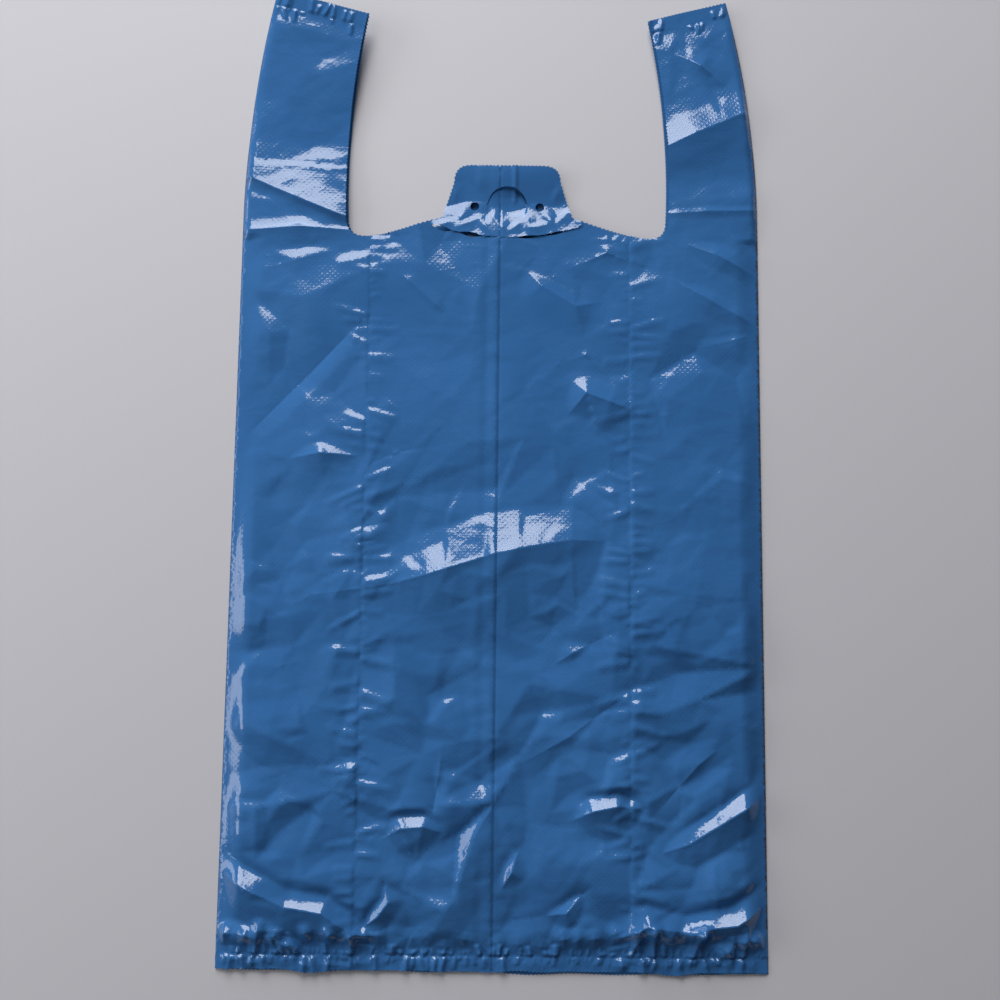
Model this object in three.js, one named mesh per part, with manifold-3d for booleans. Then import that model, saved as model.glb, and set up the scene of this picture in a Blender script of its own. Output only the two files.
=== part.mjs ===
// A vest-type plastic carrier bag, lying flat on its back panel.
//
// The bag is one piece of blown film. It starts as a tube, the two sides of the tube are tucked in as
// gussets, and the flat tube is welded shut across both ends. One cut then takes out the neck through all
// layers, which leaves two handles and, in the middle of the mouth, a tear-off tab. The tab hangs on the
// bag by a perforated line, has a half-moon slit to hang it from, and its two layers are fused round two
// pin holes. The bag is open along the neck between the tab and the handles.
//
// Millimetres, +Z up. +X is across the bag, +Y runs from the bottom weld to the handles, and the origin is
// under the middle of the bag, on the surface that it lies on.

import * as THREE from "three";
import { mergeGeometries, mergeVertices } from "three/addons/utils/BufferGeometryUtils.js";
import Module from "manifold-3d";

// Driving dimensions.
const WIDTH = 300; // across the flat bag
const LENGTH = 550; // from the bottom edge to the top edge of the handles, before the handles lean
const GUSSET = 75; // how deep each side is tucked in
const FILM = 0.4; // thickness given to the film, which is really 0.015
const AIR = 2.6; // air between two neighbouring layers, where the bag is loosest
const PRESSED_AIR = 0.15; // what is left of it beside a weld

const SKIRT = 8; // from a weld to the cut edge beyond it
const WELD = 1.6; // width of a weld
const WELD_EASE = 30; // the layers come apart over this length beside a weld

const NECK_X = 4; // the cut is this far off the middle of the film
const NECK_HALF = 93.5; // half the width of the neck at its foot
const NECK_FLARE = 5.5; // how much further apart its two sides are at each handle's top
const NECK_DEPTH = 140; // from the handles' top edge down to the lowest point of the neck
const NECK_CORNER = 11; // radius of its two bottom corners
const NECK_FLAT = 22; // from each of its sides to where its foot starts to rise towards the tab

const TAB_HEIGHT = 43; // from the lowest point of the neck to the tab's top edge
const TAB_TOP_HALF = 31; // half the width of the tab at its top
const TAB_FOOT_HALF = 38; // half its width where its sides meet the foot of the neck
const TAB_RISE = 12; // the foot of the neck rises by this much towards the tab
const TAB_CORNER = 10; // radius of its top corners
const PIN_HOLE_RADIUS = 3;
const PIN_HOLE_SPACING = 38;
const PIN_COLLAR = 1.6; // width of the fused ring round each pin hole
const HANGER_RADIUS = 11.5; // of the half-moon slit
const HANGER_SLIT = 0.8; // width of the slit
const HOLES_ABOVE_NECK = 19; // height of the pin holes and the half-moon's centre over the neck
const TEAR_HALF = 44; // half the width of the perforated line
const TEAR_RISE = 7; // it bows down by this much between its ends and its middle
const TEAR_CUTS = 14; // dashes in it
const TEAR_BRIDGE = 1.3; // film left between two cuts
const TEAR_SLIT = 0.5; // width of a dash

const HANDLE_LEAN = THREE.MathUtils.degToRad(15); // how far each handle's top is turned inwards
const LEAN_FROM = 12; // the lean starts this far above the neck's lowest point

// What follows from them. At a gusset the bag is four layers of film: the back panel, the back and the
// front half of the gusset, and the front panel.
const LAYERS = 4;
const PITCH = FILM + AIR;
const STACK = LAYERS * FILM + (LAYERS - 1) * AIR;
const PRESSED_STACK = LAYERS * FILM + (LAYERS - 1) * PRESSED_AIR;
const BOTTOM = -LENGTH / 2;
const TOP = LENGTH / 2;
const NECK_FOOT = TOP - NECK_DEPTH;
const LEAN_FOOT = NECK_FOOT + LEAN_FROM;
const LEAN_LENGTH = TOP - LEAN_FOOT;

// How finely the film is faceted. Between its folds the section has vertices at these distances from the
// neck's middle, enough for the tab to be pressed flat and for the handles to lean.
const ACROSS = [125, 105, 85, 64, TEAR_HALF, 22];
const COLUMNS = [...ACROSS.map((x) => NECK_X - x), NECK_X, ...ACROSS.map((x) => NECK_X + x).reverse()];
const EASE_RINGS = 5; // along the film that eases up from a weld
const BODY_RINGS = 3;
const TAB_RINGS = 4;
const HANDLE_RINGS = 5;
const FOLD_SEGMENTS = 3;
const CURVE_SEGMENTS = 8;
const MERGE_WITHIN = 1e-4;
const MARGIN = 5; // how far a cutting tool runs past the film

const wasm = await Module();
wasm.setup();

// A closed geometry as a solid that can be joined and cut.
function solidOf(geometry) {
  const bare = new THREE.BufferGeometry();
  bare.setAttribute("position", geometry.getAttribute("position"));
  if (geometry.index) bare.setIndex(geometry.index);
  const merged = mergeVertices(bare, MERGE_WITHIN);
  return new wasm.Manifold(
    new wasm.Mesh({
      numProp: 3,
      vertProperties: merged.attributes.position.array,
      triVerts: new Uint32Array(merged.index.array),
    }),
  );
}

function geometryOf(solid) {
  const mesh = solid.getMesh();
  const positions = new Float32Array(mesh.numVert * 3);
  for (let i = 0; i < mesh.numVert; i++) {
    const from = i * mesh.numProp;
    positions.set(mesh.vertProperties.subarray(from, from + 3), i * 3);
  }
  const geometry = new THREE.BufferGeometry();
  geometry.setAttribute("position", new THREE.BufferAttribute(positions, 3));
  geometry.setIndex(new THREE.BufferAttribute(mesh.triVerts, 1));
  return geometry;
}

// A flat outline in X and Y, pushed through all the layers.
function throughAll(outline) {
  const geometry = new THREE.ExtrudeGeometry(outline, {
    depth: STACK + 2 * MARGIN,
    bevelEnabled: false,
    curveSegments: CURVE_SEGMENTS,
  });
  return solidOf(geometry.translate(0, 0, -MARGIN));
}

// Carries a section's outline along a panel or a gusset at one height, from one fold to the next.
function straight(path, from, to, z) {
  const [low, high] = [Math.min(from, to), Math.max(from, to)];
  const passed = COLUMNS.filter((x) => x > low + PITCH && x < high - PITCH);
  for (const x of from < to ? passed : passed.reverse()) path.lineTo(x, z);
}

// One side of the film all round the tube's section, as points in X and Z. Offset is half the film outwards
// for the outside of the tube, and half the film inwards for its inside.
function sectionLoop(offset) {
  const turn = PITCH / 2;
  const side = WIDTH / 2 - turn - FILM / 2;
  const tuck = WIDTH / 2 - GUSSET + turn;
  const [back, gussetBack, gussetFront, front] = [0, 1, 2, 3].map((layer) => FILM / 2 + layer * PITCH);
  const wide = turn + offset;
  const tight = turn - offset;
  const quarter = Math.PI / 2;
  const path = new THREE.Path();
  path.absarc(side, back + turn, wide, -quarter, quarter, false);
  straight(path, side, tuck, gussetBack + offset);
  path.absarc(tuck, gussetBack + turn, tight, -quarter, quarter, true);
  straight(path, tuck, side, gussetFront - offset);
  path.absarc(side, gussetFront + turn, wide, -quarter, quarter, false);
  straight(path, side, -side, front + offset);
  path.absarc(-side, gussetFront + turn, wide, quarter, -quarter, false);
  straight(path, -side, -tuck, gussetFront - offset);
  path.absarc(-tuck, gussetBack + turn, tight, quarter, -quarter, true);
  straight(path, -tuck, -side, gussetBack + offset);
  path.absarc(-side, back + turn, wide, quarter, -quarter, false);
  straight(path, -side, side, back - offset);
  return path.getPoints(FOLD_SEGMENTS);
}

// Where the tube gets a ring of vertices: close together where the film eases up from a weld or the tab,
// and up the handles, and few in between, where the section doesn't change.
function rings() {
  const even = (from, to, count) =>
    Array.from({ length: count }, (_, i) => from + ((to - from) * i) / count);
  const pins = NECK_FOOT + HOLES_ABOVE_NECK;
  return [
    BOTTOM,
    ...even(BOTTOM + SKIRT, BOTTOM + SKIRT + WELD_EASE, EASE_RINGS),
    ...even(BOTTOM + SKIRT + WELD_EASE, NECK_FOOT, BODY_RINGS),
    ...even(NECK_FOOT, pins, TAB_RINGS),
    ...even(pins, TOP - SKIRT - WELD_EASE, HANDLE_RINGS),
    ...even(TOP - SKIRT - WELD_EASE, TOP - SKIRT, EASE_RINGS),
    TOP - SKIRT,
    TOP,
  ];
}

// A sheet of quads with columns round the section and rows along the bag or through the film. place gives
// the point of each column and row.
function skin(columns, rows, place) {
  const plane = new THREE.PlaneGeometry(1, 1, columns, rows);
  const [position, uv] = [plane.getAttribute("position"), plane.getAttribute("uv")];
  for (let i = 0; i < position.count; i++) {
    const point = place(Math.round(uv.getX(i) * columns), Math.round(uv.getY(i) * rows));
    position.setXYZ(i, point.x, point.y, point.z);
  }
  return plane;
}

// The gusseted tube as it lies, before anything is cut from it.
function tube() {
  const [outside, inside] = [sectionLoop(FILM / 2), sectionLoop(-FILM / 2)];
  const count = outside.length;
  const ys = rings();
  const last = ys.length - 1;
  const settled = (loop, column, ring) => {
    const { x, y: z } = loop[column % count];
    return leaned(new THREE.Vector3(x, ys[ring], settledHeight(x, ys[ring], z)));
  };
  const skins = [
    skin(count, last, (column, row) => settled(outside, count - column, row)),
    skin(count, last, (column, row) => settled(inside, column, row)),
    skin(count, 1, (column, row) => settled(row ? inside : outside, column, 0)),
    skin(count, 1, (column, row) => settled(row ? outside : inside, column, last)),
  ];
  return solidOf(mergeGeometries(skins));
}

// A weld fuses all the layers in a bar across the film, from just inside one fold to the other or, on a
// handle, past its cut edge. It lies at the middle of its length, turned with the handle.
function weld(from, to, y) {
  const middle = (from + to) / 2;
  const centre = leaned(new THREE.Vector3(middle, y, PRESSED_STACK / 2));
  const beside = leaned(new THREE.Vector3(middle + 1, y, 0));
  const bar = new THREE.BoxGeometry(to - from, WELD, PRESSED_STACK - FILM);
  bar.rotateZ(Math.atan2(beside.y - centre.y, beside.x - centre.x));
  return solidOf(bar.translate(centre.x, centre.y, centre.z));
}

function welds() {
  const fold = WIDTH / 2 - PITCH;
  const inner = NECK_HALF - NECK_FLARE;
  return [
    weld(-fold, fold, BOTTOM + SKIRT),
    weld(-fold, NECK_X - inner, TOP - SKIRT),
    weld(NECK_X + inner, fold, TOP - SKIRT),
  ];
}

// The cut that makes the neck, round the tab. Its corners are arcs, and it flares towards the top.
function neckOutline() {
  const shape = new THREE.Shape();
  const tabTop = NECK_FOOT + TAB_HEIGHT;
  const shoulder = NECK_FOOT + TAB_RISE;
  const flared = NECK_HALF + NECK_FLARE;
  const x = (fromMiddle) => NECK_X + fromMiddle;
  shape.moveTo(x(-flared), TOP + MARGIN);
  shape.lineTo(x(-NECK_HALF), NECK_FOOT + NECK_CORNER);
  shape.quadraticCurveTo(x(-NECK_HALF), NECK_FOOT, x(-NECK_HALF + NECK_CORNER), NECK_FOOT);
  shape.quadraticCurveTo(x(-NECK_HALF + NECK_FLAT), NECK_FOOT, x(-TAB_FOOT_HALF), shoulder);
  shape.lineTo(x(-TAB_TOP_HALF), tabTop - TAB_CORNER);
  shape.quadraticCurveTo(x(-TAB_TOP_HALF), tabTop, x(-TAB_TOP_HALF + TAB_CORNER), tabTop);
  shape.lineTo(x(TAB_TOP_HALF - TAB_CORNER), tabTop);
  shape.quadraticCurveTo(x(TAB_TOP_HALF), tabTop, x(TAB_TOP_HALF), tabTop - TAB_CORNER);
  shape.lineTo(x(TAB_FOOT_HALF), shoulder);
  shape.quadraticCurveTo(x(NECK_HALF - NECK_FLAT), NECK_FOOT, x(NECK_HALF - NECK_CORNER), NECK_FOOT);
  shape.quadraticCurveTo(x(NECK_HALF), NECK_FOOT, x(NECK_HALF), NECK_FOOT + NECK_CORNER);
  shape.lineTo(x(flared), TOP + MARGIN);
  shape.closePath();
  const points = shape.curves.flatMap((curve) => curve.getSpacedPoints(CURVE_SEGMENTS).slice(1));
  const settled = points.map((p) => leaned(new THREE.Vector3(p.x, p.y, 0)));
  return new THREE.Shape(settled.map((p) => new THREE.Vector2(p.x, p.y)));
}

function disc(x, y, radius) {
  const shape = new THREE.Shape();
  shape.absarc(x, y, radius, 0, 2 * Math.PI, false);
  return shape;
}

// The half-moon slit, an arc over the top of the hanger flap.
function hangerOutline() {
  const y = NECK_FOOT + HOLES_ABOVE_NECK;
  const shape = new THREE.Shape();
  shape.absarc(NECK_X, y, HANGER_RADIUS + HANGER_SLIT / 2, 0, Math.PI, false);
  shape.absarc(NECK_X, y, HANGER_RADIUS - HANGER_SLIT / 2, Math.PI, 0, true);
  shape.closePath();
  return shape;
}

// Height of the perforated line at a distance from the neck's middle.
function tearHeight(fromMiddle) {
  return NECK_FOOT + TEAR_RISE * (fromMiddle / TEAR_HALF) ** 2;
}

// The dashes of the perforated line, each a thin box along the curve.
function tearCuts() {
  const pitch = (2 * TEAR_HALF) / TEAR_CUTS;
  return Array.from({ length: TEAR_CUTS }, (_, i) => {
    const from = -TEAR_HALF + i * pitch;
    const to = from + pitch;
    const along = Math.atan2(tearHeight(to) - tearHeight(from), pitch);
    const box = new THREE.BoxGeometry(pitch - TEAR_BRIDGE, TEAR_SLIT, STACK + 2 * MARGIN);
    box.rotateZ(along);
    box.translate(NECK_X + (from + to) / 2, (tearHeight(from) + tearHeight(to)) / 2, STACK / 2);
    return solidOf(box);
  });
}

// The two pin holes, and the collars in which the heat of the pins fused the tab's two layers.
function pinHoles(radius) {
  return [-1, 1].map((side) =>
    disc(NECK_X + (side * PIN_HOLE_SPACING) / 2, NECK_FOOT + HOLES_ABOVE_NECK, radius),
  );
}

function pinCollar(outline) {
  const geometry = new THREE.ExtrudeGeometry(outline, {
    depth: PRESSED_STACK - FILM,
    bevelEnabled: false,
    curveSegments: CURVE_SEGMENTS,
  });
  return solidOf(geometry.translate(0, 0, FILM / 2));
}

// 0 beside a weld or in the tab, 1 where the bag is loose: how much of the air between the layers is left.
function looseness(x, y) {
  const fromBottom = (y - BOTTOM - SKIRT) / WELD_EASE;
  const fromHandleTop = (TOP - SKIRT - y) / WELD_EASE;
  const fromPins = (NECK_FOOT + HOLES_ABOVE_NECK - y) / HOLES_ABOVE_NECK;
  const inTab = Math.abs(x - NECK_X) <= TEAR_HALF;
  return THREE.MathUtils.smoothstep(Math.min(fromBottom, inTab ? fromPins : fromHandleTop), 0, 1);
}

// Takes a height in the evenly stacked section to the height at which that film lies: every layer keeps
// its thickness, and the air between two layers shrinks.
function settledHeight(x, y, z) {
  const air = THREE.MathUtils.lerp(PRESSED_AIR, AIR, looseness(x, y));
  const layersBelow = Math.min(LAYERS - 1, Math.floor((z + MERGE_WITHIN) / PITCH));
  const within = z - layersBelow * PITCH;
  const airShare = Math.max(0, within - FILM) / AIR;
  return layersBelow * (FILM + air) + Math.min(within, FILM) + airShare * air;
}

// Each handle bends inwards along an arc, lying flat. The film between the handles, which the neck takes
// out, follows less and less towards the tab.
function leaned(point) {
  const fromMiddle = point.x - NECK_X;
  const up = point.y - LEAN_FOOT;
  if (up <= 0) return point;
  const side = Math.sign(fromMiddle);
  const axis = (side * WIDTH) / 4 + (NECK_X + side * NECK_HALF) / 2;
  const across = point.x - axis;
  const turned = (HANDLE_LEAN * up) / LEAN_LENGTH;
  const radius = LEAN_LENGTH / HANDLE_LEAN;
  const x = axis - side * radius * (1 - Math.cos(turned)) + across * Math.cos(turned);
  const y = LEAN_FOOT + radius * Math.sin(turned) + side * across * Math.sin(turned);
  const share = THREE.MathUtils.smoothstep(Math.abs(fromMiddle), TEAR_HALF, NECK_HALF - NECK_CORNER);
  return point.lerp(new THREE.Vector3(x, y, point.z), share);
}

function bagFilm() {
  let film = tube();
  for (const bar of welds()) film = film.add(bar);
  film = film.subtract(throughAll(neckOutline()));
  for (const collar of pinHoles(PIN_HOLE_RADIUS + PIN_COLLAR)) film = film.add(pinCollar(collar));
  for (const hole of pinHoles(PIN_HOLE_RADIUS)) film = film.subtract(throughAll(hole));
  film = film.subtract(throughAll(hangerOutline()));
  for (const cut of tearCuts()) film = film.subtract(cut);
  return geometryOf(film);
}

const blueFilm = new THREE.MeshStandardMaterial({
  color: 0x2f6aa8,
  roughness: 0.3,
  metalness: 0,
});

const bag = new THREE.Mesh(bagFilm(), blueFilm);
bag.name = "carrier_bag";

// The origin goes under the middle of the bag as it lies, with its leaning handles.
bag.geometry.computeBoundingBox();
const middle = bag.geometry.boundingBox.getCenter(new THREE.Vector3());
bag.position.set(-middle.x, -middle.y, -bag.geometry.boundingBox.min.z);

const carrierBag = new THREE.Group();
carrierBag.add(bag);

export default carrierBag;
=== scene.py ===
"""A vest-type carrier bag of embossed blue film, lying flat on a pale table.

The film is drawn as the flat pattern that the bag is cut from, in millimetres: +X across the bag and +Y from
its bottom weld to its handles. Each layer of the folded tube is meshed in that pattern and joined to its
neighbour along their fold. The front panel is raised into its creases, pleats and puckers, which stretches it
a little, and is then relaxed with the lengths that it has there. Everything is moved into the row's frame.
"""

import math

import bpy
import numpy as np
from mathutils import Matrix, Vector
from mathutils.geometry import delaunay_2d_cdt
from mathutils.kdtree import KDTree


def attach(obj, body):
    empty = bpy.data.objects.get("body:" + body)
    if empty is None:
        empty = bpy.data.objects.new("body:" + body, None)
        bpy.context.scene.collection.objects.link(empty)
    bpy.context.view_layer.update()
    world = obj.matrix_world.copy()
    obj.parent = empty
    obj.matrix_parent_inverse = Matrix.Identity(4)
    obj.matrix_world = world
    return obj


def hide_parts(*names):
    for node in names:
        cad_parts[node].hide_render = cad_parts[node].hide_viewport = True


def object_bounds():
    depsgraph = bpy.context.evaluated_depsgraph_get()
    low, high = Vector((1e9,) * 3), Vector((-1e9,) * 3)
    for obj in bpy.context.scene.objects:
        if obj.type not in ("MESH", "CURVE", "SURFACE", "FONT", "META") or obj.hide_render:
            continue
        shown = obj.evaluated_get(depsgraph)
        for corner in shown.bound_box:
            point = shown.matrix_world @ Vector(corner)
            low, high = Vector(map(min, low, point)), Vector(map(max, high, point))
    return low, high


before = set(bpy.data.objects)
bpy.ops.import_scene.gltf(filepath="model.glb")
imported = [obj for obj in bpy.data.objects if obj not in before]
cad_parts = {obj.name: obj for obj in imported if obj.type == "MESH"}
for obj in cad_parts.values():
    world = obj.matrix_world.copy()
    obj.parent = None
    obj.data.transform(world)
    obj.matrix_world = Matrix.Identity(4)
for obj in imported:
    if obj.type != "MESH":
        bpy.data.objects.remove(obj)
cad_low, cad_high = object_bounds()
MM = 0.001

# The flat pattern, in millimetres, as the CAD part has it, but for its pin holes, which are smaller here,
# and its tear line, which is partly torn.
WIDTH, LENGTH, GUSSET = 300.0, 550.0, 75.0
SIDE, BOTTOM, TOP = WIDTH / 2, -LENGTH / 2, LENGTH / 2
TUCK = SIDE - GUSSET
SKIRT = 8.0
BOTTOM_WELD, TOP_WELD = BOTTOM + SKIRT, TOP - SKIRT
NECK_X, NECK_HALF, NECK_FLARE, NECK_DEPTH = 4.0, 93.5, 5.5, 140.0
NECK_CORNER, NECK_FLAT = 11.0, 22.0
NECK_FOOT = TOP - NECK_DEPTH
TAB_HEIGHT, TAB_TOP_HALF, TAB_FOOT_HALF = 43.0, 31.0, 38.0
TAB_RISE, TAB_CORNER = 12.0, 10.0
HOLES_Y = NECK_FOOT + 19.0
PIN_RADIUS, PIN_SPACING = 2.6, 38.0
HANGER_RADIUS = 11.5
TEAR_HALF, TEAR_RISE = 44.0, 7.0
LEAN, LEAN_FOOT = math.radians(15), NECK_FOOT + 12.0
LEAN_LENGTH = TOP - LEAN_FOOT
ROW_SHIFT = cad_low.y / MM - BOTTOM  # the row's origin is under the middle of the bag as it lies

# How finely it is meshed, and over how many steps its front panel is relaxed.
SPACING = 1.65
COARSE = 6.0
EDGE_STEP = 1.1
RELAX_STEPS = 300

# How firmly the relaxed film keeps its lengths, its creases and its start's heights and places. Each step
# overshoots, so that fewer are needed.
KEEPS_LENGTH, KEEPS_CREASE, OVERSHOOT = 0.9, 0.22, 1.7
HELD_UP, HELD_ACROSS = 0.012, 0.004

# The layers of the film and the folds between them, each at its height over the table.
LAYER_HEIGHTS = {"back": 0.2, "gusset_back": 0.4, "gusset_front": 0.6, "front": 0.85}
FOLD_HEIGHTS = {"back": 0.3, "tuck": 0.5, "front": 0.72}

# The film's surface. The dots of the emboss stand 2.2 mm apart, along the diagonals of its pitch.
EMBOSS_PITCH, EMBOSS = 3.1, 0.05
CREASE_SIZES = [(38, 0.4, 1.8), (120, 0.07, 1.4)]  # waves per metre, depth in millimetres, stretch across
CREASE_TURN = math.radians(-20)
FILM_COLOURS = [(0.031, 0.130, 0.345, 1), (0.041, 0.160, 0.405, 1)]
LEAST_ROUGHNESS, ROUGHNESS_RANGE = 0.09, 0.08
POLYTHENE_IOR = 1.54


# --- The cut outline -------------------------------------------------------------------------------------


def quadratic(a, b, c, count):
    t = np.linspace(0, 1, count + 1)[1:, None]
    a, b, c = (np.array(p, float) for p in (a, b, c))
    return (1 - t) ** 2 * a + 2 * t * (1 - t) * b + t**2 * c


def line_to(a, b, step):
    count = max(1, int(round(math.dist(a, b) / step)))
    t = np.linspace(0, 1, count + 1)[1:, None]
    return np.array(a, float) * (1 - t) + np.array(b, float) * t


def neck_line(step):
    """The neck's cut from the left handle's top, down, round the tab and up to the right handle's top."""

    def x(from_middle):
        return NECK_X + from_middle

    tab_top, shoulder = NECK_FOOT + TAB_HEIGHT, NECK_FOOT + TAB_RISE
    flared = NECK_HALF + NECK_FLARE
    stops = [
        ("from", (x(-flared), TOP)),
        ("line", (x(-NECK_HALF), NECK_FOOT + NECK_CORNER)),
        ("bend", (x(-NECK_HALF), NECK_FOOT), (x(-NECK_HALF + NECK_CORNER), NECK_FOOT)),
        ("bend", (x(-NECK_HALF + NECK_FLAT), NECK_FOOT), (x(-TAB_FOOT_HALF), shoulder)),
        ("line", (x(-TAB_TOP_HALF), tab_top - TAB_CORNER)),
        ("bend", (x(-TAB_TOP_HALF), tab_top), (x(-TAB_TOP_HALF + TAB_CORNER), tab_top)),
        ("line", (x(TAB_TOP_HALF - TAB_CORNER), tab_top)),
        ("bend", (x(TAB_TOP_HALF), tab_top), (x(TAB_TOP_HALF), tab_top - TAB_CORNER)),
        ("line", (x(TAB_FOOT_HALF), shoulder)),
        ("bend", (x(NECK_HALF - NECK_FLAT), NECK_FOOT), (x(NECK_HALF - NECK_CORNER), NECK_FOOT)),
        ("bend", (x(NECK_HALF), NECK_FOOT), (x(NECK_HALF), NECK_FOOT + NECK_CORNER)),
        ("line", (x(flared), TOP)),
    ]
    points = [np.array(stops[0][1], float)]
    for kind, *where in stops[1:]:
        here = tuple(points[-1])
        if kind == "line":
            points.extend(line_to(here, where[0], step))
        else:
            count = max(4, int(math.dist(here, where[1]) * 1.1 / step))
            points.extend(quadratic(here, where[0], where[1], count))
    return np.array(points)


def serrated(points, depth=0.35):
    """The zigzag that a toothed knife leaves along a cut edge, one tooth for every two points."""
    along = np.gradient(points, axis=0)
    along /= np.linalg.norm(along, axis=1)[:, None]
    across = np.stack([-along[:, 1], along[:, 0]], 1)
    zigzag = np.where(np.arange(len(points)) % 2 == 0, depth, -depth)
    zigzag[[0, -1]] = 0
    return points + across * zigzag[:, None]


def leaned(points):
    """Each handle bends inwards along an arc, lying flat, as in the CAD part."""
    from_middle = points[:, 0] - NECK_X
    side = np.where(from_middle < 0, -1.0, 1.0)
    up = np.maximum(points[:, 1] - LEAN_FOOT, 0)
    axis = side * WIDTH / 4 + (NECK_X + side * NECK_HALF) / 2
    across = points[:, 0] - axis
    turned = LEAN * up / LEAN_LENGTH
    radius = LEAN_LENGTH / LEAN
    x = axis - side * radius * (1 - np.cos(turned)) + across * np.cos(turned)
    y = LEAN_FOOT + radius * np.sin(turned) + side * across * np.sin(turned)
    share = smooth((np.abs(from_middle) - TEAR_HALF) / (NECK_HALF - NECK_CORNER - TEAR_HALF))
    share = np.where(up > 0, share, 0)[:, None]
    return points * (1 - share) + np.stack([x, y], 1) * share


def smooth(t):
    t = np.clip(t, 0, 1)
    return t * t * (3 - 2 * t)


def even(a, b, step):
    return np.linspace(a, b, max(2, int(round(abs(b - a) / step)) + 1))


def column(x, ys):
    return np.stack([np.full(len(ys), x), ys], 1)


def row(xs, y):
    return np.stack([xs, np.full(len(xs), y)], 1)


FOLD_STATIONS = even(BOTTOM, TOP, SPACING)
NECK = serrated(neck_line(EDGE_STEP))


def panel_outline():
    """The front or back panel: bottom edge, right fold, right handle's top, neck, left handle's top and left
    fold."""
    bottom = serrated(row(even(-SIDE, SIDE, EDGE_STEP), BOTTOM))
    right_top = serrated(row(even(SIDE, NECK[-1, 0], EDGE_STEP), TOP))
    left_top = serrated(row(even(NECK[0, 0], -SIDE, EDGE_STEP), TOP))
    return np.concatenate(
        [
            bottom[:-1],
            column(SIDE, FOLD_STATIONS)[:-1],
            right_top[:-1],
            NECK[::-1][:-1],
            left_top[:-1],
            column(-SIDE, FOLD_STATIONS[::-1])[:-1],
        ]
    )


def gusset_outline(side):
    """Half a gusset, from the outer fold to the tuck, cut off by the neck as the panels are."""
    tuck = side * TUCK
    handle = NECK[::-1] if side > 0 else NECK
    beyond = np.flatnonzero(side * handle[:, 0] < TUCK)[0]
    handle = handle[:beyond]
    ends_at = handle[-1, 1]
    tuck_ys = even(BOTTOM, ends_at, 2 * SPACING)
    bottom = row(even(tuck, side * SIDE, COARSE / 2), BOTTOM)
    top = row(even(side * SIDE, handle[0, 0], COARSE / 2), TOP)
    return np.concatenate(
        [
            bottom[:-1],
            column(side * SIDE, FOLD_STATIONS)[:-1],
            top[:-1],
            handle,
            column(tuck, tuck_ys[::-1])[1:-1],
        ]
    )


# --- Meshing ---------------------------------------------------------------------------------------------


def inside(points, loop):
    """Which points lie inside a closed loop, by counting crossings."""
    a, b = loop, np.roll(loop, -1, axis=0)
    found = np.zeros(len(points), bool)
    order = np.argsort(points[:, 1])
    ys = points[order, 1]
    for (ax, ay), (bx, by) in zip(a, b):
        if ay == by:
            continue
        low, high = np.searchsorted(ys, (min(ay, by), max(ay, by)), "right")
        some = order[low:high]
        x = ax + (points[some, 1] - ay) * (bx - ax) / (by - ay)
        found[some[points[some, 0] < x]] ^= True
    return found


def hexagonal(spacing, jitter, seed):
    """Points in a triangular lattice over the whole pattern, each moved a little off it."""
    rng = np.random.default_rng(seed)
    ys = np.arange(BOTTOM, TOP, spacing * math.sqrt(3) / 2)
    xs = np.arange(-SIDE, SIDE, spacing)
    grid = np.stack(np.meshgrid(xs, ys), -1)
    grid[1::2, :, 0] += spacing / 2
    points = grid.reshape(-1, 2)
    return points + rng.uniform(-jitter, jitter, points.shape) * spacing


def near_loops(points, loops, gap):
    tree_points = np.concatenate(loops)
    tree = KDTree(len(tree_points))
    for i, (x, y) in enumerate(tree_points):
        tree.insert((x, y, 0), i)
    tree.balance()
    return np.array([tree.find((x, y, 0))[2] for x, y in points]) < gap


def triangulate(outline, holes, points):
    """The outline, less its holes, as triangles with the given points inside."""
    loops = [outline, *holes]
    vertices = np.concatenate([*loops, points])
    edges, start = [], 0
    for loop in loops:
        count = len(loop)
        edges += [(start + i, start + (i + 1) % count) for i in range(count)]
        start += count
    made = delaunay_2d_cdt([Vector(p) for p in vertices], edges, [], 1, 1e-5)
    flat = np.array([tuple(p) for p in made[0]])
    faces = np.array(made[2])
    middle = flat[faces].mean(axis=1)
    keep = inside(middle, outline)
    for hole in holes:
        keep &= ~inside(middle, hole)
    return flat, faces[keep]


def fine_zone(p):
    """Where the film is meshed twice as finely: beside the welds, and in the tab."""
    by_weld = np.abs(p[:, 1] - (BOTTOM_WELD + 3)) < 13
    by_top = p[:, 1] > TOP_WELD - 10
    in_tab = (np.abs(p[:, 0] - NECK_X) < 48) & (p[:, 1] > NECK_FOOT - 6)
    return by_weld | by_top | in_tab


def disc(x, y, radius, count):
    turn = np.linspace(0, 2 * math.pi, count, endpoint=False)
    return np.stack([x + radius * np.cos(turn), y + radius * np.sin(turn)], 1)


def slit(line, width):
    """A thin hole along a line of points, widest at its middle."""
    along = np.gradient(line, axis=0)
    along /= np.linalg.norm(along, axis=1)[:, None]
    across = np.stack([-along[:, 1], along[:, 0]], 1)
    half = width / 2 * np.sin(np.linspace(0.12, math.pi - 0.12, len(line)))[:, None]
    return np.concatenate([line + across * half, (line - across * half)[::-1]])


def tear_y(x):
    return NECK_FOOT + TEAR_RISE * ((x - NECK_X) / TEAR_HALF) ** 2


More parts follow.
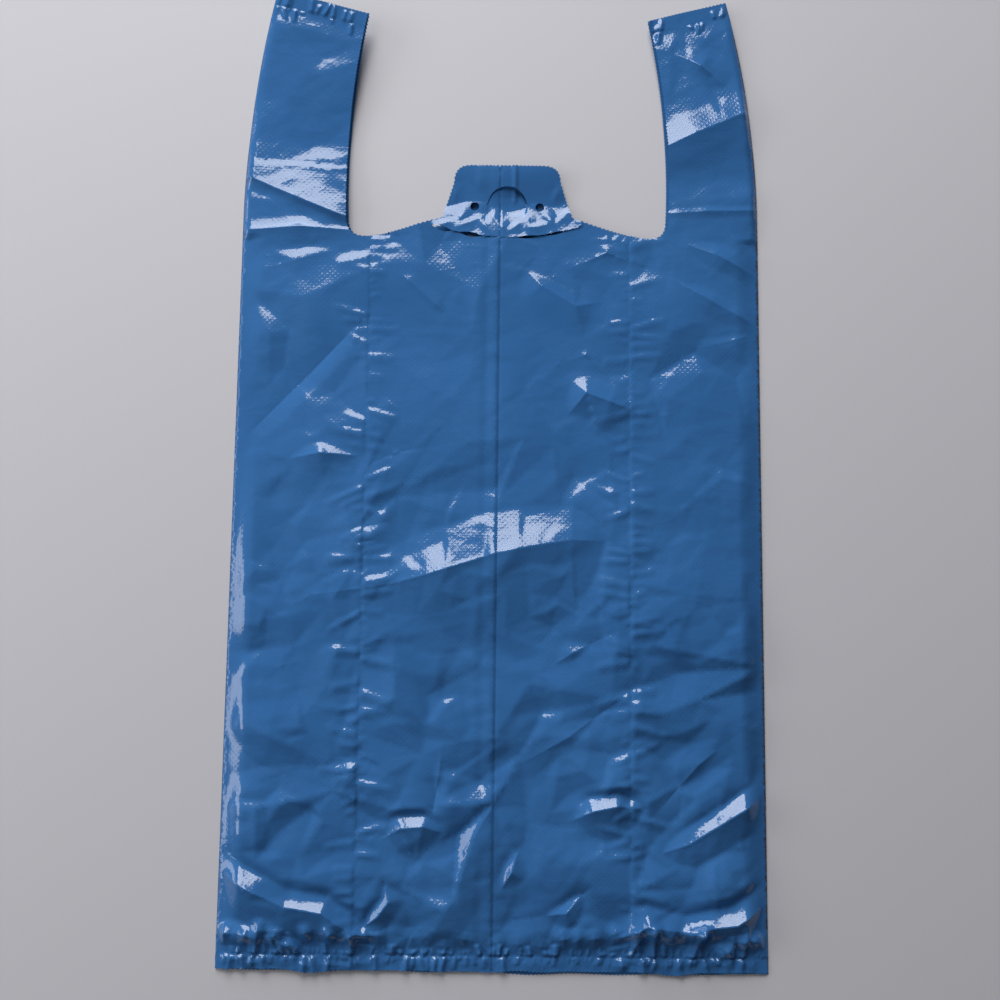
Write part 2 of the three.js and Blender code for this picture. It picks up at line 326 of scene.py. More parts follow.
def tab_cuts():
    """The pin holes, the half-moon slit, and the perforations, some of which have torn wider."""
    cuts = [disc(NECK_X + s * PIN_SPACING / 2, HOLES_Y, PIN_RADIUS, 18) for s in (-1, 1)]
    turn = np.linspace(math.radians(8), math.radians(172), 28)
    arc = np.stack([NECK_X + HANGER_RADIUS * np.cos(turn), HOLES_Y + HANGER_RADIUS * np.sin(turn)], 1)
    cuts.append(slit(arc, 0.9))
    torn = {-38: (11, 2.6), -21: (13, 2.8), 12: (13, 1.6), 28: (12, 1.4)}
    for middle, (length, width) in torn.items():
        xs = np.linspace(middle - length / 2, middle + length / 2, 12) + NECK_X
        cuts.append(slit(np.stack([xs, tear_y(xs)], 1), width))
    for middle in (-29.3, -11, -6.5, -2, 2.5, 20.3, 36.5, 40):
        xs = np.linspace(middle - 1.5, middle + 1.5, 5) + NECK_X
        cuts.append(slit(np.stack([xs, tear_y(xs)], 1), 0.5))
    return cuts


def on_fold_lines(spacing):
    """Points along the upright folds that show in the front panel."""
    lines = []
    for x, top in ((0, NECK_FOOT + TAB_HEIGHT), (-TUCK, NECK_FOOT), (TUCK, NECK_FOOT)):
        ys = np.arange(BOTTOM + 1, top - 1, spacing * 0.8)
        lines += [column(x + beside, ys + 0.4 * spacing * (beside != 0)) for beside in (-0.6, 0, 0.6)]
    return np.concatenate(lines)


def meshed(outline, holes, spacing, fine, seed):
    points = hexagonal(spacing, 0.08, seed)
    gaps = np.full(len(points), 0.62 * spacing)
    if fine:
        points = points[~fine_zone(points)]
        finer = hexagonal(spacing / 2, 0.08, seed + 1)
        finer = finer[fine_zone(finer)]
        gaps = np.r_[np.full(len(points), 0.55 * spacing), np.full(len(finer), 0.3 * spacing)]
        points = np.concatenate([points, finer])
        beside = np.min(np.abs(points[:, :1] - (-TUCK, 0, TUCK)), axis=1) > 0.6 + gaps
        folds, creases = on_fold_lines(spacing), crease_points(spacing)
        creases = creases[np.min(np.abs(creases[:, :1] - (-TUCK, 0, TUCK)), axis=1) > 1.2]
        points, gaps = points[beside], gaps[beside]
        clear = ~near_loops(points, [creases], 0.62 * spacing * np.where(fine_zone(points), 0.6, 1))
        gaps = np.r_[gaps[clear], np.full(len(folds) + len(creases), 0.5)]
        points = np.concatenate([points[clear], folds, creases])
    keep = inside(points, outline)
    points, gaps = points[keep], gaps[keep]
    points = points[~near_loops(points, [outline, *holes], gaps)]
    return triangulate(outline, holes, points)


# --- The creases that the film holds -----------------------------------------------------------------------


def crest(p, line, up, down, curve=1.0):
    """A crease through the stops (x, y, height) of a line that runs left to right. The film falls from it, over
    a length up on its +Y side and over a length down on its -Y side, evenly or, with a curve over 1, ever more
    gently. A negative height makes a valley."""
    nearest = np.full(len(p), np.inf)
    height, above = np.zeros(len(p)), np.zeros(len(p), bool)
    stops = np.array(line, float)
    for a, b in zip(stops[:-1], stops[1:]):
        way = b[:2] - a[:2]
        t = np.clip((p - a[:2]) @ way / (way @ way), 0, 1)
        off = p - a[:2] - t[:, None] * way
        distance = np.hypot(off[:, 0], off[:, 1])
        closer = distance < nearest
        nearest[closer] = distance[closer]
        height[closer] = (a[2] + (b[2] - a[2]) * t)[closer]
        above[closer] = (way[0] * off[:, 1] - way[1] * off[:, 0] > 0)[closer]
    return height * np.clip(1 - nearest / np.where(above, up, down), 0, 1) ** curve


def small_crest(h, p, at, turn, length, height, up, down):
    """Adds a short crest, lowest at its ends, to the heights h."""
    reach = length / 2 + max(up, down)
    near = np.flatnonzero((np.abs(p[:, 0] - at[0]) < reach) & (np.abs(p[:, 1] - at[1]) < reach))
    way = np.array([math.cos(turn), math.sin(turn)]) * length / 2
    line = [(*(at - way), 0), (*at, height), (*(at + way), 0)]
    h[near] += crest(p[near], line, up, down)


def wavy(p, wavelength, seed, stretch=(1.0, 1.0)):
    """Smooth noise of about unit strength and about that wavelength."""
    rng = np.random.default_rng(seed)
    count = 28
    turn = rng.uniform(0, 2 * math.pi, count)
    k = 2 * math.pi / wavelength * rng.uniform(0.6, 1.4, count)
    phase = rng.uniform(0, 2 * math.pi, count)
    x, y = p[:, 0] * stretch[0], p[:, 1] * stretch[1]
    total = np.zeros(len(p))
    for a, f, c in zip(turn, k, phase):
        total += np.cos(f * (x * math.cos(a) + y * math.sin(a)) + c)
    return total * math.sqrt(2 / count)


# Each crest: its stops (x, y, height), and the lengths over which the film falls above and below it.
CRESTS = {
    "across the middle": (
        [(-133, -91, 0), (-103, -73, 2.4), (-60, -67, 5.0), (-38, -61, 9.0), (0, -49, 9.4), (24, -44, 8.6),
         (42, -41, 6.0), (60, -41, 2.2), (76, -42, 0)],
        36, 70,
    ),
    "right of the middle": ([(22, -34, 0), (40, -31, 2.4), (66, -30, 0)], 9, 14),
    "left of the middle, upper": ([(-84, -38, 0), (-72, -34, 1.8), (-58, -31, 0)], 6, 9),
    "left of the middle, lower": ([(-86, -47, 0), (-74, -43, 1.6), (-60, -41, 0)], 5, 9),
    "upper left": ([(-128, 2, 0), (-100, 7, 5.0), (-66, 5, 0)], 14, 26),
    "upper left, right end": ([(-82, -4, 0), (-58, 8, 2.2), (-22, 14, 0)], 16, 20),
    "left edge to the neck": ([(-148, 12, 0), (-110, 52, -2.4), (-72, 92, 0)], 36, 10),
    "under the left handle": ([(-146, 112, 0), (-118, 120, 2.0), (-88, 128, 0)], 14, 22),
    "under the tab, left": ([(-70, 122, 0), (-52, 108, 2.6), (-36, 94, 3.0), (-22, 82, 0)], 26, 14),
    "right of the crease": ([(6, 126, 0), (24, 106, 3.6), (44, 94, 4.2), (62, 98, 0)], 18, 44),
    "under the tab, right": ([(4, 96, 0), (12, 116, 2.0), (24, 128, 0)], 14, 12),
    "upper right, high": ([(30, 112, 0), (62, 126, 2.6), (84, 118, 0)], 18, 14),
    "upper right, tall": ([(36, 26, 0), (50, 43, 6.2), (64, 38, 6.4), (86, 30, 0)], 18, 34),
    "upper right, above it": ([(34, 60, 0), (50, 66, 2.6), (64, 52, 0)], 12, 20),
    "right of it": ([(64, 84, 0), (74, 92, 2.0), (88, 88, 0)], 9, 12),
    "neck to the right edge": ([(96, 136, 0), (124, 126, 4.4), (149, 113, 3.4)], 20, 18),
    "below it": ([(84, 120, 0), (122, 98, 4.0), (149, 84, 3.0)], 16, 24),
    "right edge": ([(112, 70, 0), (136, 76, 2.0), (149, 81, 1.8)], 12, 16),
    "upright, lower left": ([(-36, -212, 0), (-30, -170, 2.6), (-26, -128, 0)], 17, 10),
    "lower right, long": ([(18, -120, 0), (42, -104, 3.2), (70, -90, 0)], 24, 14),
    "lower right, second": ([(12, -166, 0), (40, -150, 3.4), (76, -124, 0)], 26, 15),
    "lower right, third": ([(84, -196, 0), (112, -164, 3.2), (140, -142, 0)], 30, 14),
    "lower right, glossy": ([(84, -214, 0), (106, -206, 5.4), (146, -182, 6.4), (149, -176, 4.0)], 15, 26),
    "lower middle": ([(40, -196, 0), (54, -189, 7.0), (68, -186, 7.4), (86, -188, 0)], 12, 30),
    "lower middle, steep": ([(2, -236, 0), (10, -222, 5.4), (16, -204, 0)], 8, 16),
    "lower left": ([(-62, -206, 0), (-50, -199, 6.6), (-38, -198, 6.4), (-24, -203, 0)], 11, 34),
    "left, long": ([(-142, -130, 0), (-118, -112, 2.2), (-88, -106, 0)], 30, 30),
    "left, low": ([(-134, -178, 0), (-106, -168, 2.0), (-80, -172, 0)], 30, 30),
    "bottom left corner": (
        [(-150, -222, 7.0), (-134, -231, 8.0), (-112, -241, 7.0), (-92, -244, 8.0), (-74, -256, 5.0),
         (-60, -262, 0)],
        15, 30,
    ),
    "bottom, middle left": ([(-74, -256, 0), (-62, -246, 5.4), (-56, -238, 5.0), (-60, -224, 0)], 9, 16),
    "bottom, middle right": ([(24, -246, 0), (40, -243, 5.6), (54, -228, 0)], 9, 16),
    "bottom right": (
        [(62, -260, 0), (84, -249, 8.0), (104, -252, 5.0), (132, -248, 8.0), (150, -238, 7.0)],
        16, 16,
    ),
}
HANDLE_CRESTS = {
    "left handle's tuck": ([(-150, 170, 2.8), (-120, 158, 3.9), (-96, 148, 4.2), (-84, 144, 3.0)], 36, 7),
    "left handle's foot": ([(-150, 138, 2.4), (-116, 140, 3.4), (-84, 138, 1.4)], 8, 16),
    "right handle's middle": ([(93, 190, 4.8), (116, 199, 6.0), (150, 210, 5.0)], 27, 40),
    "right handle's upper": ([(112, 252, 0), (126, 240, 3.6), (142, 222, 0)], 14, 9),
    "right handle's lower": ([(93, 150, 2.2), (120, 152, 3.0), (150, 153, 2.6)], 13, 18),
}
# Puckers across the welds: seed, the weld, their side of it, their spacing, how far they reach in the bag's
# middle and in its corners, and their height.
WELD_PUCKERS = [
    (31, BOTTOM_WELD, 1, 8, (7, 20), 2.6),
    (41, BOTTOM_WELD, 1, 3.2, (5, 5), 1.0),
    (32, BOTTOM_WELD, -1, 8, (14, 14), 1.8),
    (42, BOTTOM_WELD, -1, 3.2, (5, 5), 0.7),
    (33, TOP_WELD, -1, 6, (9, 9), 1.5),
    (34, TOP_WELD, 1, 6, (13, 13), 1.5),
]
# Creases of the tab: its middle, from the neck's middle and foot, the way it runs, its length and its height.
TAB_CRESTS = [
    (-36, 8, 15, 16, 1.4), (-27, 12, 70, 18, 1.2), (-22, 9, 25, 20, 1.5), (-13, 7, 125, 22, 1.6),
    (-8, 13, 60, 14, 1.1), (-3, 6, 110, 12, 1.0), (5, 7, 40, 16, 1.3), (12, 10, 100, 18, 1.2),
    (18, 7, 10, 20, 1.4), (25, 11, 125, 22, 1.5), (32, 12, 50, 14, 1.2), (36, 16, 20, 16, 1.2),
    (-30, 26, 80, 14, 0.7), (29, 27, 60, 16, 0.9), (-16, 34, 95, 16, 0.5),
]


def facet_net(seed, size, tallest, turn):
    """Film that has been crumpled and laid flat again, as flat facets between straight creases: the net's
    corners, their heights, its triangles and its creases. Facets are of about that size, and longest along
    turn."""
    rng = np.random.default_rng(seed)
    c, s = math.cos(turn), math.sin(turn)
    reach = math.hypot(SIDE, TOP) + 2 * max(size)
    grid = np.stack(np.meshgrid(*(np.arange(-reach, reach, x) for x in size)), -1).reshape(-1, 2)
    corners = (grid + rng.uniform(-0.45, 0.45, grid.shape) * size) @ np.array([[c, s], [-s, c]])
    corners = corners[(np.abs(corners) < (SIDE + 80, TOP + 80)).all(axis=1)]
    heights = rng.uniform(0, tallest, len(corners))
    made = delaunay_2d_cdt([Vector(v) for v in corners], [], [], 0, 1e-5)
    flat = np.array([tuple(v) for v in made[0]])
    return flat, heights[[source[0] for source in made[3]]], made[2], made[1]


def facets(p, net):
    """Height of a facet net at the points p."""
    flat, heights, triangles, _ = net
    h = np.zeros(len(p))
    for triangle in triangles:
        box = flat[triangle]
        near = np.flatnonzero(((p >= box.min(0)) & (p <= box.max(0))).all(axis=1))
        there = np.column_stack([p[near], np.ones(len(near))]).T
        share = np.linalg.solve(np.vstack([box.T, np.ones(3)]), there)
        within = (share > -1e-9).all(axis=0)
        h[near[within]] = heights[triangle] @ share[:, within]
    return h


def crease_points(spacing):
    """Points along the placed crests and the large facets' edges, where the mesh has to fold."""
    found = []
    for line, _, _ in [*CRESTS.values(), *HANDLE_CRESTS.values()]:
        for a, b in zip(line[:-1], line[1:]):
            a, b = np.array(a[:2], float), np.array(b[:2], float)
            way = (b - a) / np.linalg.norm(b - a)
            on_line = np.concatenate([[a], line_to(a, b, 1.5)])
            found += [on_line + np.array([-way[1], way[0]]) * beside for beside in (-0.6, 0, 0.6)]
    flat, _, _, creases = LARGE_FACETS
    found += [line_to(flat[a], flat[b], spacing) for a, b in creases]
    found = np.concatenate(found)
    _, first = np.unique(np.round(found / 0.5), axis=0, return_index=True)
    return found[np.sort(first)]


LARGE_FACETS = facet_net(81, (42, 14), 7.4, math.radians(24))
SMALL_FACETS = facet_net(83, (22, 7.5), 2.3, math.radians(30))


def crumples(p, seed, count, longest, tallest, widest, turn=0.3, spread=0.6):
    """Many short creases, thrown over the film, most of them running up to the right."""
    rng = np.random.default_rng(seed)
    h = np.zeros(len(p))
    for _ in range(count):
        at = np.array([rng.uniform(-SIDE, SIDE), rng.uniform(BOTTOM, TOP)])
        size = rng.uniform(0.3, 1) ** 1.5
        width = widest * size * rng.uniform(0.7, 1.3) + 1.5
        height = rng.choice([-1, 1], p=[0.35, 0.65]) * tallest * size
        way, down = rng.normal(turn, spread), width * rng.uniform(0.8, 2.2)
        small_crest(h, p, at, way, longest * size + 5, height, width, down)
    return h


def puckers(p, seed, along, foot, way, spacing, reach, tallest):
    """Gathers that stand across a straight weld or fold, tallest beside it. along is 0 for a line along X, 1
    for one along Y, foot where that line is, way the side that they are on, and reach how far the longest go in
    the bag's middle and in its corners."""
    rng = np.random.default_rng(seed)
    s, d = p[:, along], way * (p[:, 1 - along] - foot)
    h = np.zeros(len(p))
    at, end = (-SIDE, SIDE) if along == 0 else (BOTTOM, NECK_FOOT)
    while at < end:
        at += spacing * rng.exponential(0.75) + 0.25 * spacing
        size = rng.uniform(0.25, 1) ** 1.3
        length = (reach[0] + (reach[1] - reach[0]) * smooth((abs(at) - 60) / 25)) * size
        half = spacing * rng.uniform(0.2, 0.34) + 0.12 * length
        slant, steep = rng.normal(0, 0.25), rng.uniform(0.45, 1)
        near = np.flatnonzero((d > -1) & (d < length) & (np.abs(s - at) < 2 * half + abs(slant) * length))
        t = np.clip(d[near] / length, 0, 1)
        across = (s[near] - at - slant * d[near]) / half
        profile = np.clip(1 - np.abs(across) * np.where(across > 0, 1 / steep, 1), 0, 1)
        profile *= np.sqrt(1 - t**2) * smooth(d[near] / 1.2)
        h[near] = np.maximum(h[near], tallest * (0.3 + 0.7 * size) * profile)
    return h


def weld_folds(p, seed, from_edge, tallest, spacing):
    """Short folds along the bottom weld, at about that distance from the bottom edge, a little steeper on
    their upper sides and largest in the bag's corners."""
    rng = np.random.default_rng(seed)
    h, x = np.zeros(len(p)), -SIDE + 5
    while x < SIDE - 5:
        corner = 0.4 + 0.6 * smooth((abs(x) - 50) / 40)
        y = BOTTOM + from_edge * rng.uniform(0.8, 1.2) + 7 * corner * rng.uniform(0, tallest / 4)
        length, steep = spacing * rng.uniform(0.9, 1.7), spacing * rng.uniform(0.4, 0.65)
        turn, height = rng.normal(0, 0.5), corner * tallest * rng.uniform(0.5, 1)
        small_crest(h, p, np.array([x, y]), turn, length, height, steep, steep * 1.2)
        x += spacing * rng.uniform(0.6, 1.3)
    return h


def settled(p):
    """How freely the film can rise: 0 on its side folds, 0.1 from its welds outwards, and up to 1."""
    above_weld, below_weld = p[:, 1] - BOTTOM_WELD, TOP_WELD - p[:, 1]
    free = smooth((SIDE - np.abs(p[:, 0])) / np.where(p[:, 1] > NECK_FOOT, 4, 14))
    free *= np.where(above_weld > 0, 0.1 + 0.9 * smooth(above_weld / 15), 0.1)
    return free * np.where(below_weld > 0, 0.1 + 0.9 * smooth(below_weld / 12), 0.1)


def puffed(p):
    """The air under the film lifts it towards the middle."""
    by_side = smooth((SIDE - np.abs(p[:, 0])) / 50)
    return 1.6 * by_side * smooth((p[:, 1] - BOTTOM_WELD) / 50) * smooth((TOP_WELD - p[:, 1]) / 40)


def lifted(p):
    """How far the handles' ends stand off the table, all their layers together."""
    tallest = np.where(p[:, 0] < 0, 11.0, 4.0)
    return tallest * np.clip((p[:, 1] - 190) / 85, 0, 1) ** 1.3 * (np.abs(p[:, 0]) > NECK_HALF - 12)


def tab_relief(p):
    """Height of the tab, and how far above the tear line each point is. The tab leans up towards that line and
    towards its top, and is creased most between the line and its holes. The flap in the half-moon slit has
    sunk, and a narrow ridge runs up from over it."""
    x, y = p[:, 0] - NECK_X, p[:, 1]
    above = y - tear_y(p[:, 0])
    creased = np.zeros(len(p))
    for across, up, turn, length, height in TAB_CRESTS:
        at = np.array([NECK_X + across, NECK_FOOT + up])
        small_crest(creased, p, at, math.radians(turn), length, height, 3.2, 5.5)
    rise = 3.0 * np.clip(1 - above / (19 + 3.5 * wavy(p, 22, 95)), 0, 1) + 0.7 * creased
    rise += 4.0 * smooth((above - 12) / 30)
    flap = (np.hypot(x, y - HOLES_Y) < HANGER_RADIUS) & (y > HOLES_Y - 6)
    down = np.clip((y - HOLES_Y + 6) / 12, 0, 1)
    sunk = np.where(flap, 2.8 * down * (0.6 + 0.4 * np.clip(x / 8, -1, 1)), 0)
    strip = 0.8 * np.clip(1 - np.abs(x - 4.5) / 2.2, 0, 1) * smooth((above - 20) / 4)
    return rise - sunk + strip, above


def gathers(p, lower):
    """Everything that stands across the welds, and across the gussets' inner folds as they print through."""
    gathered = weld_folds(p, 45, SKIRT + 6.5, 4.8, 10) + weld_folds(p, 46, SKIRT / 2, 1.6, 7)
    for seed, weld, way, spacing, reach, tallest in WELD_PUCKERS:
        gathered += puckers(p, seed, 0, weld, way, spacing, reach, tallest)
    shown = (p[:, 1] < NECK_FOOT) * (0.55 + 0.45 * lower)
    for tuck, seed in ((-TUCK, 35), (TUCK, 37)):
        for way in (-1, 1):
            gathered += shown * puckers(p, seed + way, 1, tuck, way, 7, (22, 22), 1.3)
    return gathered


def below_tab_top(p):
    return p[:, 1] < NECK_FOOT + TAB_HEIGHT


def fold_prints(p, by_side):
    """The step at the bag's middle fold, and the film's rise over the folded gussets."""
    beside_middle = smooth(0.5 - p[:, 0] / 1.2) - np.clip(1 - np.abs(p[:, 0] + 7) / 4, 0, 1)
    shows = 0.35 + 0.65 * smooth(0.5 + 0.6 * wavy(p, 60, 91))
    over_gusset = smooth((np.abs(p[:, 0]) - TUCK) / 1.6 + 0.5)
    return below_tab_top(p) * 0.4 * beside_middle + shows * 0.3 * over_gusset * by_side


def front_height(p):
    """Height of the front panel over the table, before it is relaxed and its handles are lifted."""
    raised, sunk = np.zeros(len(p)), np.zeros(len(p))
    for line, up, down in [*CRESTS.values(), *HANDLE_CRESTS.values()]:
        found = crest(p, line, up, down, 1.4)
        raised, sunk = np.maximum(raised, found), np.minimum(sunk, found)
    calm = 1 - 0.85 * np.clip((raised - sunk) / 2, 0, 1)
    lower = smooth((60 - p[:, 1]) / 200)
    h = raised + sunk
    in_handle = smooth((p[:, 1] - NECK_FOOT - 20) / 20)
    h += calm * facets(p, LARGE_FACETS) * (0.45 + 0.55 * lower) * (1 - 0.6 * in_handle)
    h += facets(p, SMALL_FACETS) * (0.25 + 0.75 * lower)
    h += crumples(p, 5, 420, 30, 0.7, 5) * (0.45 + 0.55 * lower)
    h = h * settled(p) + puffed(p)

    by_side = smooth((SIDE - np.abs(p[:, 0])) / 5)
    h += gathers(p, lower) * by_side
    h += fold_prints(p, by_side)
    tab, above = tab_relief(p)
    in_tab = (np.abs(p[:, 0] - NECK_X) < TEAR_HALF) & (above > 0)
    h = np.where(in_tab, 0.3 * h + tab, h)
    h -= below_tab_top(p) * 0.8 * np.clip(1 - np.abs(p[:, 0]) / 0.6, 0, 1)
    return LAYER_HEIGHTS["front"] + np.maximum(h + 0.2, 0.05)


# --- Relaxing the film --------------------------------------------------------------------------------------


def pairs_of(faces):
    """The mesh's edges, and the two points across each inner edge."""
    corners = np.concatenate([faces[:, [0, 1, 2]], faces[:, [1, 2, 0]], faces[:, [2, 0, 1]]])
    ends = np.sort(corners[:, :2], axis=1)
    order = np.lexsort((ends[:, 1], ends[:, 0]))
    ends, opposite = ends[order], corners[order, 2]
    same = (ends[1:] == ends[:-1]).all(axis=1)
    first = np.r_[True, ~same]
    return ends[first], np.stack([opposite[:-1][same], opposite[1:][same]], 1)


def relax(start, faces, excess, floor, steps):
    """Film whose creased start has grown by a small excess, over its whole length and breadth, buckles towards
    its new lengths. The creases that it starts with stay, since the film is held by its bending too."""
    edges, across = pairs_of(faces)
    both = np.concatenate([edges, across])
    stiff = np.r_[np.full(len(edges), KEEPS_LENGTH), np.full(len(across), KEEPS_CREASE)]
    length = np.linalg.norm(start[both[:, 0]] - start[both[:, 1]], axis=1)
    length *= 1 + (excess[both[:, 0]] + excess[both[:, 1]]) / 2
    ends = both.T.ravel()
    share = 1 / np.maximum(np.bincount(ends, np.r_[stiff, stiff]), 1e-9)
    at = start.copy()
    for _ in range(steps):
        apart = at[both[:, 0]] - at[both[:, 1]]
        now = np.sqrt(np.einsum("ij,ij->i", apart, apart))
        pull = ((length - now) / now * stiff * 0.5)[:, None] * apart
        moved = np.stack([np.bincount(ends, np.r_[pull[:, k], -pull[:, k]], len(at)) for k in range(3)], 1)
        at += OVERSHOOT * moved * share[:, None]
        at[:, 2] += HELD_UP * (start[:, 2] - at[:, 2])
        at[:, :2] += HELD_ACROSS * (start[:, :2] - at[:, :2])
        at[:, 2] = np.maximum(at[:, 2], floor)
    return at


def film_excess(p):
    """How much the film grows, as a share of its lengths, most beside welds and tucks."""
    weld = np.exp(-np.abs(p[:, 1] - BOTTOM_WELD) / 9)
    top_weld = np.exp(-np.abs(p[:, 1] - TOP_WELD) / 8)
    tuck = np.exp(-np.abs(np.abs(p[:, 0]) - TUCK) / 9) * (p[:, 1] < NECK_FOOT)
    calm = 0.004 + 0.003 * wavy(p, 70, 51)
    return np.maximum(calm, 0) + 0.012 * weld + 0.012 * top_weld + 0.008 * tuck


# --- The bag ------------------------------------------------------------------------------------------------


def lower_layer(p, name, seed):
    """A layer under the front one: it lies almost flat, slipped a little at the neck's cut and the bottom.
    Under the tab it has slipped down, so that it shows through the tab's holes."""
    free = smooth((SIDE - np.abs(p[:, 0])) / 30)
    slip = 0.9 if name == "back" else 0.5
    x, y = p[:, 0] - NECK_X, p[:, 1]
    over = smooth((y - NECK_FOOT + 30) / 30)
    in_tab = over * (np.abs(x) < TEAR_HALF)
    toward_neck = -np.sign(x) * slip * free * over * (1 - in_tab)
    up = free * (slip * over * (1 - in_tab) - 3.8 * in_tab * smooth((y - NECK_FOOT) / 15))
    down = free * slip * (1 + 0.6 * wavy(p, 60, seed)) * smooth((BOTTOM + 30 - y) / 30)
    moved = p + np.stack([toward_neck, up - down], 1)
    height = LAYER_HEIGHTS[name] + 0.05 * wavy(p, 50, seed + 1)
    return moved, height


def layer(name, flat, faces, seed):
    """A layer's points in three dimensions, its edges on the folds that it shares."""
    if name == "front":
        lying = leaned(flat)
        wave = 0.5 * wavy(flat, 34, 61) * smooth((BOTTOM + 12 - flat[:, 1]) / 12)
        free = smooth((SIDE - np.abs(flat[:, 0])) / 9)
        start = np.column_stack([lying[:, 0], lying[:, 1] + wave * free, front_height(flat)])
        at = relax(start, faces, film_excess(flat), LAYER_HEIGHTS["front"] - 0.06, RELAX_STEPS)
    else:
        moved, height = lower_layer(flat, name, seed)
        at = np.column_stack([leaned(moved), height])
    outer = np.abs(np.abs(flat[:, 0]) - SIDE) < 1e-6
    inner = (np.abs(np.abs(flat[:, 0]) - TUCK) < 1e-6) & ("gusset" in name)
    outer_height = FOLD_HEIGHTS["front" if "front" in name else "back"]
    for fold, height in ((outer, outer_height), (inner, FOLD_HEIGHTS["tuck"])):
        at[fold, :2] = leaned(flat[fold])
        at[fold, 2] = height
    at[:, 2] += lifted(flat)
    return at


def bag_mesh():
    """The whole bag as one open surface, with its flat pattern as its UV map, in millimetres."""
    layers = [("front", *meshed(panel_outline(), tab_cuts(), SPACING, True, 3))]
    layers.append(("back", *meshed(panel_outline(), tab_cuts(), COARSE, False, 5)))
    for side in (-1, 1):
        half = meshed(gusset_outline(side), [], COARSE, False, 7)
        layers += [("gusset_front", *half), ("gusset_back", *half)]
    points, flats, faces, count = [], [], [], 0
    for seed, (name, flat, some) in enumerate(layers):
        points.append(layer(name, flat, some, 70 + seed))
        flats.append(flat)
        turned = some if name in ("front", "gusset_back") else some[:, ::-1]
        faces.append(turned + count)
        count += len(flat)
    points, flats, faces = (np.concatenate(x) for x in (points, flats, faces))
    _, first, merged = np.unique(np.round(points, 4), axis=0, return_index=True, return_inverse=True)
    return points[first], flats[first], merged.reshape(-1)[faces]


def film_material():
    """Blue polythene: glossy, embossed all over with small dots, and finely creased."""
    material = bpy.data.materials.new("blue_film")
    material.use_nodes = True
    nodes, links = material.node_tree.nodes, material.node_tree.links

    def node(kind, **values):
        made = nodes.new("ShaderNode" + kind)
        for key, value in values.items():
            if key in made.bl_rna.properties:
                setattr(made, key, value)
            else:
                made.inputs[key.replace("_", " ")].default_value = value
        return made

    def maths(operation, first, second):
        made = node("Math", operation=operation)
        for socket, value in zip(made.inputs, (first, second)):
            if isinstance(value, (int, float)):
                socket.default_value = value
            else:
                links.new(value, socket)
        return made.outputs[0]

    flat = node("UVMap", uv_map="flat_pattern").outputs["UV"]
    parts = node("SeparateXYZ")
    links.new(flat, parts.inputs[0])

    # the emboss: dots in a square grid, turned by 45 degrees, pressed unevenly
    k = 2 * math.pi / (EMBOSS_PITCH * MM)
    waves = [maths("COSINE", maths("MULTIPLY", parts.outputs[i], k), 0) for i in (0, 1)]
    pressed = node("TexNoise", noise_dimensions="2D", Scale=28.0, Detail=2.0)
    links.new(flat, pressed.inputs["Vector"])
    dot = maths("POWER", maths("MAXIMUM", maths("MULTIPLY", waves[0], waves[1]), 0), 1.6)
    dots = maths("MULTIPLY", dot, maths("MULTIPLY", pressed.outputs[0], EMBOSS * MM))

    # fine creases: the folds of a smooth noise
    fine = dots
    for scale, depth, stretch in CREASE_SIZES:
        mapping = node("Mapping", Scale=(scale, scale * stretch, 1), Rotation=(0, 0, CREASE_TURN))
        links.new(flat, mapping.inputs["Vector"])
        noise = node("TexNoise", noise_dimensions="2D", Scale=1.0, Detail=2.0, Roughness=0.5)
        links.new(mapping.outputs[0], noise.inputs["Vector"])
        folded = maths("ABSOLUTE", maths("SUBTRACT", noise.outputs[0], 0.5), 0)
        fine = maths("SUBTRACT", fine, maths("MULTIPLY", folded, depth * MM))
    bump = node("Bump", Strength=1.0, Distance=1.0)
    links.new(fine, bump.inputs["Height"])

    # slightly uneven colour and gloss
    cloud = node("TexNoise", noise_dimensions="2D", Scale=14.0, Detail=4.0)
    links.new(flat, cloud.inputs["Vector"])
    colour = node("Mix", data_type="RGBA")
    ends = [socket for socket in colour.inputs if socket.type == "RGBA"]
    for socket, value in zip(ends, FILM_COLOURS):
        socket.default_value = value
    mixed = next(socket for socket in colour.outputs if socket.type == "RGBA")
    links.new(cloud.outputs[0], colour.inputs["Factor"])
    shader = nodes["Principled BSDF"]
    links.new(mixed, shader.inputs["Base Color"])
    roughness = maths("ADD", maths("MULTIPLY", cloud.outputs[0], ROUGHNESS_RANGE), LEAST_ROUGHNESS)
    links.new(roughness, shader.inputs["Roughness"])
    links.new(bump.outputs[0], shader.inputs["Normal"])
    shader.inputs["IOR"].default_value = POLYTHENE_IOR
    return material


def bag_film():
    """The one object of the bag, as a folded sheet in the body that it rides."""
    points, flat, faces = bag_mesh()
    points[:, 1] += ROW_SHIFT
    mesh = bpy.data.meshes.new("carrier_bag_film")
    mesh.from_pydata((points * MM).tolist(), [], faces.tolist())
    uv = mesh.uv_layers.new(name="flat_pattern")
    uv.data.foreach_set("uv", (flat[faces.ravel()] * MM).ravel())
    mesh.shade_smooth()
    film = bpy.data.objects.new("carrier_bag_film", mesh)
    bpy.context.scene.collection.objects.link(film)
    film.data.materials.append(film_material())
    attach(film, "root")
    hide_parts("carrier_bag")


# --- The studio ---------------------------------------------------------------------------------------------


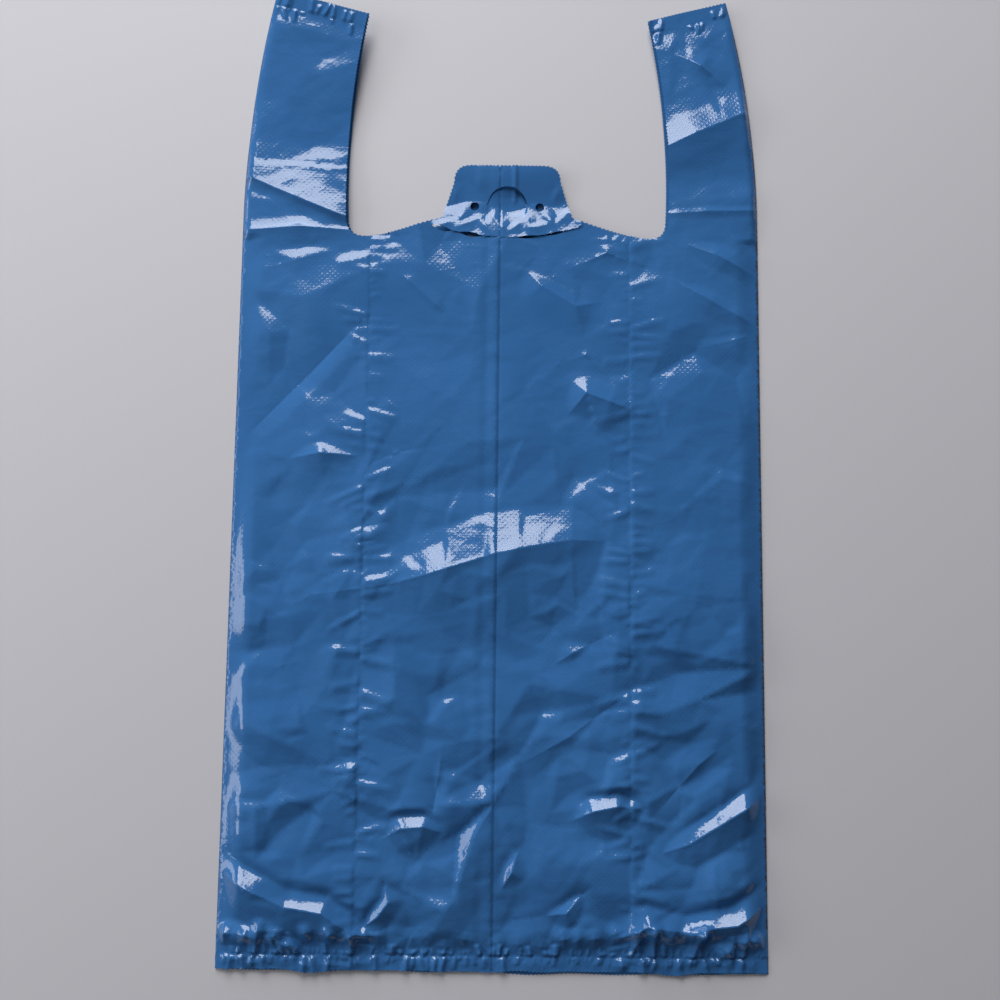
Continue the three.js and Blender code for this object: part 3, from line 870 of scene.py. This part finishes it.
def camera():
    """Looks down at the bag from over its middle, a little from its bottom end."""
    data = bpy.data.cameras.new("camera")
    data.lens = 43.2
    data.sensor_width = 36
    looking_at = Vector((1.7, -21.0, 0)) * MM
    tilt, roll, distance = math.radians(6.9), math.radians(0.65), 0.682
    obj = bpy.data.objects.new("camera", data)
    turn = Matrix.Rotation(tilt, 4, "X") @ Matrix.Rotation(roll, 4, "Z")
    obj.matrix_world = Matrix.Translation(looking_at) @ turn @ Matrix.Translation((0, 0, distance))
    bpy.context.scene.collection.objects.link(obj)
    bpy.context.scene.camera = obj


def table():
    """The plain pale surface that the bag lies on."""
    mesh = bpy.data.meshes.new("table")
    half = 3.0
    corners = [(-half, -half, 0), (half, -half, 0), (half, half, 0), (-half, half, 0)]
    mesh.from_pydata(corners, [], [(0, 1, 2, 3)])
    obj = bpy.data.objects.new("table", mesh)
    bpy.context.scene.collection.objects.link(obj)
    material = bpy.data.materials.new("pale_table")
    material.use_nodes = True
    shader = material.node_tree.nodes["Principled BSDF"]
    shader.inputs["Base Color"].default_value = (0.56, 0.555, 0.59, 1)
    shader.inputs["Roughness"].default_value = 0.6
    mesh.materials.append(material)


def area_light(name, size, energy, azimuth, elevation, distance, mirrored=True):
    """A rectangular light that faces the bag, from a direction given by azimuth from +X and elevation."""
    data = bpy.data.lights.new(name, "AREA")
    data.shape = "RECTANGLE"
    data.size, data.size_y = size
    data.energy = energy
    azimuth, elevation = math.radians(azimuth), math.radians(elevation)
    flat = math.cos(elevation)
    way = Vector((math.cos(azimuth) * flat, math.sin(azimuth) * flat, math.sin(elevation)))
    obj = bpy.data.objects.new(name, data)
    obj.location = way * distance
    obj.rotation_euler = way.to_track_quat("Z", "Y").to_euler()
    obj.visible_glossy = mirrored
    bpy.context.scene.collection.objects.link(obj)


def lights():
    """A window behind the handles, a low one at the left, and a wall at the left that gives no mirror image."""
    area_light("window", (1.3, 1.7), energy=56, azimuth=101, elevation=33, distance=2.3)
    area_light("wall", (1.4, 1.4), energy=5.4, azimuth=172, elevation=42, distance=1.3, mirrored=False)
    area_light("side window", (1.6, 0.6), energy=11, azimuth=176, elevation=18, distance=2.0)
    world = bpy.data.worlds.new("room")
    world.use_nodes = True
    background = world.node_tree.nodes["Background"]
    background.inputs["Color"].default_value = (0.8, 0.86, 1, 1)
    background.inputs["Strength"].default_value = 0.05
    bpy.context.scene.world = world


bag_film()
camera()
table()
lights()
bpy.context.scene.view_settings.view_transform = "Standard"
